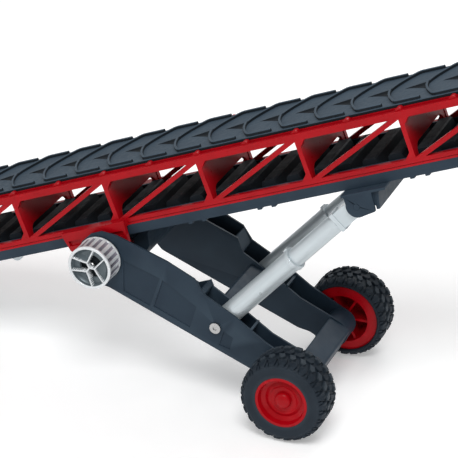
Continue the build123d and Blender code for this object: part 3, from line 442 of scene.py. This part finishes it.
# tread blocks: share of the pitch round the tyre, millimetres across from its middle
centre_block = [(-0.36, 0.6), (-0.10, 5.2), (0.22, 6.0), (0.40, 3.2), (0.16, 0.4)]
shoulder_block = [
    (-0.34, 6.9), (0.02, 7.6), (0.30, 6.8), (0.36, 10.4), (0.22, 13.2), (-0.22, 13.2), (-0.38, 10.2),
]
edge_lug = [(-0.12, 11.0), (0.12, 11.0), (0.12, 13.5), (-0.12, 13.5)]
edge_lug_height = 0.9 * mm
for side, sign in sides:
    vertices, faces, indices = [], [], []
    ring = [(r * mm, y * mm) for r, y in carcass]
    turn = [2 * math.pi * i / segments for i in range(segments)]
    sweep(turn, ring, lambda a, p: wheel_point(a, p[0], sign * p[1]), closed=True)
    for index in range(blocks_round):
        step = 2 * math.pi / blocks_round
        angle = index * step
        long = tyre_radius * step
        for half in (-1, 1):
            shift = angle + (0.5 * step if half > 0 else 0)
            for outline, offset, height in (
                (centre_block, 0.0, tread_depth),
                (shoulder_block, 0.5 * step, tread_depth),
                (edge_lug, 0.0, edge_lug_height),
            ):
                block([(a * long, half * y * mm) for a, y in outline], shift + offset, sign, height)
    tyre = new_piece(f"tyre_tread_{side}", vertices, faces, [tyre_rubber], indices, smooth=False)
    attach(tyre, f"wheel_{side}")
    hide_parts(f"tyre_{side}")


# ======================================================================== knob
knob_radius, knob_front, knob_back = 14.85 * mm, 60.8 * mm, 44.2 * mm
flutes, flute_depth = 20, 0.6 * mm
facings = [math.radians(a) for a in (117.0, -3.0, -123.0)]


def rib_distance(a, b, points):
    """Shortest distance from (a, b) to a broken line."""
    best = 1.0
    for (a0, b0), (a1, b1) in zip(points, points[1:]):
        run = (a1 - a0, b1 - b0)
        t = ((a - a0) * run[0] + (b - b0) * run[1]) / (run[0] ** 2 + run[1] ** 2)
        t = min(max(t, 0.0), 1.0)
        best = min(best, math.hypot(a - a0 - t * run[0], b - b0 - t * run[1]))
    return best


# one of the three face ribs: a V with a blunt corner towards the shaft, and its short spoke
blunt, shoulder, reach = 3.7 * mm, 5.2 * mm, 12.9 * mm
shoulder_b = 2.3 * mm
end_a, end_b = 9.9 * mm, 8.2 * mm
rib_bend = [(blunt, 0.0), (shoulder, shoulder_b), (end_a, end_b)]
rib_width, rib_depth = 0.5 * mm, 0.35 * mm


def knob_depth(x, z):
    """Depth of the knob's face below its rim, and which material the place has: the pale plastic on raised parts,
    painted shade in the dishes and the deep centre.
    """
    r = math.hypot(x, z)
    if r > reach:
        over = (r - reach) / (knob_radius - reach)
        return 0.5 * mm * max(0.0, 1 - over * 6) + 0.25 * mm * over ** 4, 0
    for facing in facings:
        a = x * math.cos(facing) + z * math.sin(facing)
        b = abs(-x * math.sin(facing) + z * math.cos(facing))
        if a < 0:
            continue
        gap = min(rib_distance(a, b, rib_bend), rib_distance(a, b, [(0.0, 0.0), (blunt, 0.0)]))
        if gap < rib_width:
            return rib_depth, 0
        edge = shoulder + (b - shoulder_b) * 0.797 if b > shoulder_b else blunt + b * 0.652
        if a > edge:
            bowl = min(gap / (3.4 * mm), (reach - r) / (2.4 * mm), 1.0)
            # the dishes take the darker dish material, painted shade in the hollows
            return (1.2 + 2.6 * math.sqrt(max(bowl, 0))) * mm, 2
    # the deep centre takes the near-black pocket material and the ring round it the dish material, both painted
    # shade
    return (5.6 * mm, 1) if r < 8.0 * mm else (3.4 * mm, 2)


vertices, faces, indices = [], [], []
round_steps, face_rings = 288, 58
face_radius = 14.4 * mm
# skirt from back to front in millimetres: radius, depth behind the rim
skirt = [
    (14.3, 16.6), (14.85, 16.3), (14.85, 15.4), (14.7, 15.1),
    (14.7, 2.1), (14.85, 1.8), (14.85, 0.5), (14.6, 0.1),
]
grooved = (3, 4)                  # skirt points between the two smooth bands


def knob_point(a, radius, depth):
    """World point on the knob: angle, radius, and depth behind the rim."""
    return Vector((pivot.x + radius * math.cos(a), -knob_front + depth, pivot.z + radius * math.sin(a)))


for i in range(round_steps):
    a = 2 * math.pi * i / round_steps
    groove = flute_depth * (0.5 - 0.5 * math.cos(flutes * a)) ** 1.4
    for position, (r, depth) in enumerate(skirt):
        radius = r * mm - (groove if position in grooved else 0)
        vertices.append(knob_point(a, radius, depth * mm))
    for ring_index in range(1, face_rings):
        radius = face_radius * (1 - ring_index / face_rings)
        depth = knob_depth(radius * math.cos(a), radius * math.sin(a))[0]
        vertices.append(knob_point(a, radius, depth))
column = len(skirt) + face_rings - 1
for i in range(round_steps):
    here, there = i * column, ((i + 1) % round_steps) * column
    for j in range(column - 1):
        faces.append((here + j, there + j, there + j + 1, here + j + 1))
        a = 2 * math.pi * (i + 0.5) / round_steps
        # the groove bottoms of the fluted rim take the darker flute material, painted shade
        mark = 3 if j == grooved[0] and math.cos(flutes * a) < -0.1 else 0
        if j >= len(skirt):
            radius = face_radius * (1 - (j - len(skirt) + 1.5) / face_rings)
            mark = knob_depth(radius * math.cos(a), radius * math.sin(a))[1]
        indices.append(mark)
centre = len(vertices)
vertices.append(Vector((pivot.x, -knob_front + 1.0 * mm, pivot.z)))
back = len(vertices)
vertices.append(Vector((pivot.x, -knob_back, pivot.z)))
for i in range(round_steps):
    here, there = i * column, ((i + 1) % round_steps) * column
    faces.append((here + column - 1, there + column - 1, centre))
    faces.append((there, here, back))
    indices.extend((0, 0))
knob = new_piece("knob_detailed", vertices, faces, [pale, knob_pocket_shade, knob_dish_shade, knob_flute_shade], indices, smooth=True)
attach(knob, "knob")
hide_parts("knob", "knob_face")

# ======================================================================== carried-over CAD nodes
slots = {row["node"]: row["material_slot"] for row in frame["record"]["subparts"]}
usual_edge, arm_edge = 0.2, 0.3   # edge rounding in millimetres
edge_width = {
    "side_frame_near": 0.7, "side_frame_far": 0.7, "cross_frames": 0.35, "cross_beam": 0.4, "axle_beam": 0.6,
    "return_tray": 0.25, "feed_hopper": 0.4, "tail_foot": 0.3, "rim_near": 0.3, "rim_far": 0.3,
    "cylinder_clevis": 0.4, "arm_near": arm_edge, "arm_far": arm_edge,
}
edge_steps, edge_angle = 2, 32.0
for name, node in nodes.items():
    node.data.materials.clear()
    node.data.materials.append(finish[slots[name]])
    node.data.polygons.foreach_set("use_smooth", [True] * len(node.data.polygons))
    if "custom_normal" in node.data.attributes:
        node.data.attributes.remove(node.data.attributes["custom_normal"])
    soften(node, edge_width.get(name, usual_edge) * mm, edge_steps, edge_angle)

# ======================================================================== arms
arm_run = Vector((axle.x - pivot.x, 0, axle.z - pivot.z)).normalized()
arm_rise = Vector((-arm_run.z, 0, arm_run.x))


def arm_point(s, y, t):
    """World point: s from the pivot towards the wheels, t square to it."""
    p = pivot + arm_run * (s * mm) + arm_rise * (t * mm)
    return Vector((p.x, y * mm, p.z))


def carve(piece, outline, y0, y1):
    """Cuts a prism, its outline in the arm's frame, out of a piece."""
    points = [arm_point(s, y0, t) for s, t in outline] + [arm_point(s, y1, t) for s, t in outline]
    count = len(outline)
    walls = [(i, (i + 1) % count, count + (i + 1) % count, count + i) for i in range(count)]
    ends = [tuple(reversed(range(count))), tuple(range(count, 2 * count))]
    cutter = new_piece("cutter", points, walls + ends, [slate], smooth=False)
    shell = bmesh.new()
    shell.from_mesh(cutter.data)
    bmesh.ops.recalc_face_normals(shell, faces=shell.faces)
    shell.to_mesh(cutter.data)
    shell.free()
    cut = piece.modifiers.new("cut", "BOOLEAN")
    cut.operation, cut.solver, cut.object = "DIFFERENCE", "EXACT", cutter
    bpy.context.view_layer.update()
    done = bpy.data.meshes.new_from_object(piece.evaluated_get(bpy.context.evaluated_depsgraph_get()))
    piece.modifiers.remove(cut)
    piece.data = done
    bpy.data.objects.remove(cutter)


# the arm's head is drawn in behind the knob; in front of the step the near arm's inner wall is low
head_trim = [
    (3, 20.35), (-7, 16.8), (-12.4, 11), (-15.3, 3), (-15.3, -3), (-13, -9), (-8.5, -13.5), (-2, -17),
    (-2, -30), (-30, -30), (-30, 30), (3, 30),
]
inner_trim = [(-30, 7.5), (8, 7.5), (38, 12.5), (62, 12.5), (68, 18.8), (68, 35), (-30, 35)]
trim_outer, trim_wall, trim_inner = 46.0, 41.0, 20.0      # distances from the middle plane
for side, sign in sides:
    node = nodes[f"arm_{side}"]
    mesh = node.data.copy()
    mesh.transform(node.matrix_world)
    arm = bpy.data.objects.new(f"arm_carved_{side}", mesh)
    bpy.context.scene.collection.objects.link(arm)
    carve(arm, head_trim, sign * trim_outer, sign * trim_inner)
    if side == "near":
        carve(arm, inner_trim, sign * trim_wall, sign * trim_inner)
    soften(arm, arm_edge * mm, edge_steps, edge_angle)
    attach(arm, "chassis")
    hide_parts(f"arm_{side}")

# ======================================================================== camera, light, floor
azimuth, elevation = math.radians(21.75), math.radians(25.83)
target = Vector((314.5 * mm, 11.0 * mm, 99.3 * mm))
distance, lens = 1.4203, 170.66
back_way = Vector((
    math.sin(azimuth) * math.cos(elevation),
    -math.cos(azimuth) * math.cos(elevation),
    math.sin(elevation),
))
camera_data = bpy.data.cameras.new("camera")
camera_data.lens, camera_data.sensor_width = lens, 36.0
camera_data.clip_start, camera_data.clip_end = 0.05, 50.0
camera = bpy.data.objects.new("camera", camera_data)
bpy.context.scene.collection.objects.link(camera)
camera.location = target + back_way * distance
camera.rotation_mode = "QUATERNION"
camera.rotation_quaternion = (-back_way).to_track_quat("-Z", "Y")
bpy.context.scene.camera = camera


def area_light(name, place, size, power, tint=(1, 1, 1)):
    """A soft square light that faces the middle of the machine."""
    data = bpy.data.lights.new(name, "AREA")
    data.energy, data.size, data.color = power, size, tint
    lamp = bpy.data.objects.new(name, data)
    lamp.location = place
    lamp.rotation_mode = "QUATERNION"
    lamp.rotation_quaternion = (target - Vector(place)).to_track_quat("-Z", "Y")
    bpy.context.scene.collection.objects.link(lamp)


area_light("key", (0.7, -1.0, 1.7), 0.8, 20.0)
area_light("fill", (-0.9, -1.1, 0.9), 1.2, 4.0)
area_light("rim", (0.4, 1.3, 1.2), 1.0, 8.0)
sky_light, floor_glow = 0.42, 0.28
world = bpy.data.worlds.new("studio")
world.use_nodes = True
# the sky looks white to the camera and lights the machine more softly
sky = world.node_tree
sky.nodes["Background"].inputs["Color"].default_value = (1, 1, 1, 1)
seen = sky.nodes.new("ShaderNodeLightPath")
level = sky.nodes.new("ShaderNodeMapRange")
level.inputs["To Min"].default_value = sky_light
level.inputs["To Max"].default_value = 1.0
link(sky, seen, "Is Camera Ray", level, "Value")
link(sky, level, "Result", sky.nodes["Background"], "Strength")
bpy.context.scene.world = world
bpy.context.scene.view_settings.view_transform = "Standard"

pale_floor = material(
    "pale_floor", (0.90, 0.90, 0.90), (0.88, 0.88, 0.88), (0.93, 0.93, 0.93),
    rough=0.7, spread=0.05, wear=0.0, bump=0.02,
)
glow = pale_floor.node_tree.nodes["Principled BSDF"]
glow.inputs["Emission Color"].default_value = (1, 1, 1, 1)
glow.inputs["Emission Strength"].default_value = floor_glow
reach_out, floor_z = 8, -0.5 * mm
floor = new_piece(
    "floor",
    [(x * reach_out, y * reach_out, floor_z) for x, y in ((-1, -1), (1, -1), (1, 1), (-1, 1))],
    [(0, 1, 2, 3)],
    [pale_floor],
)
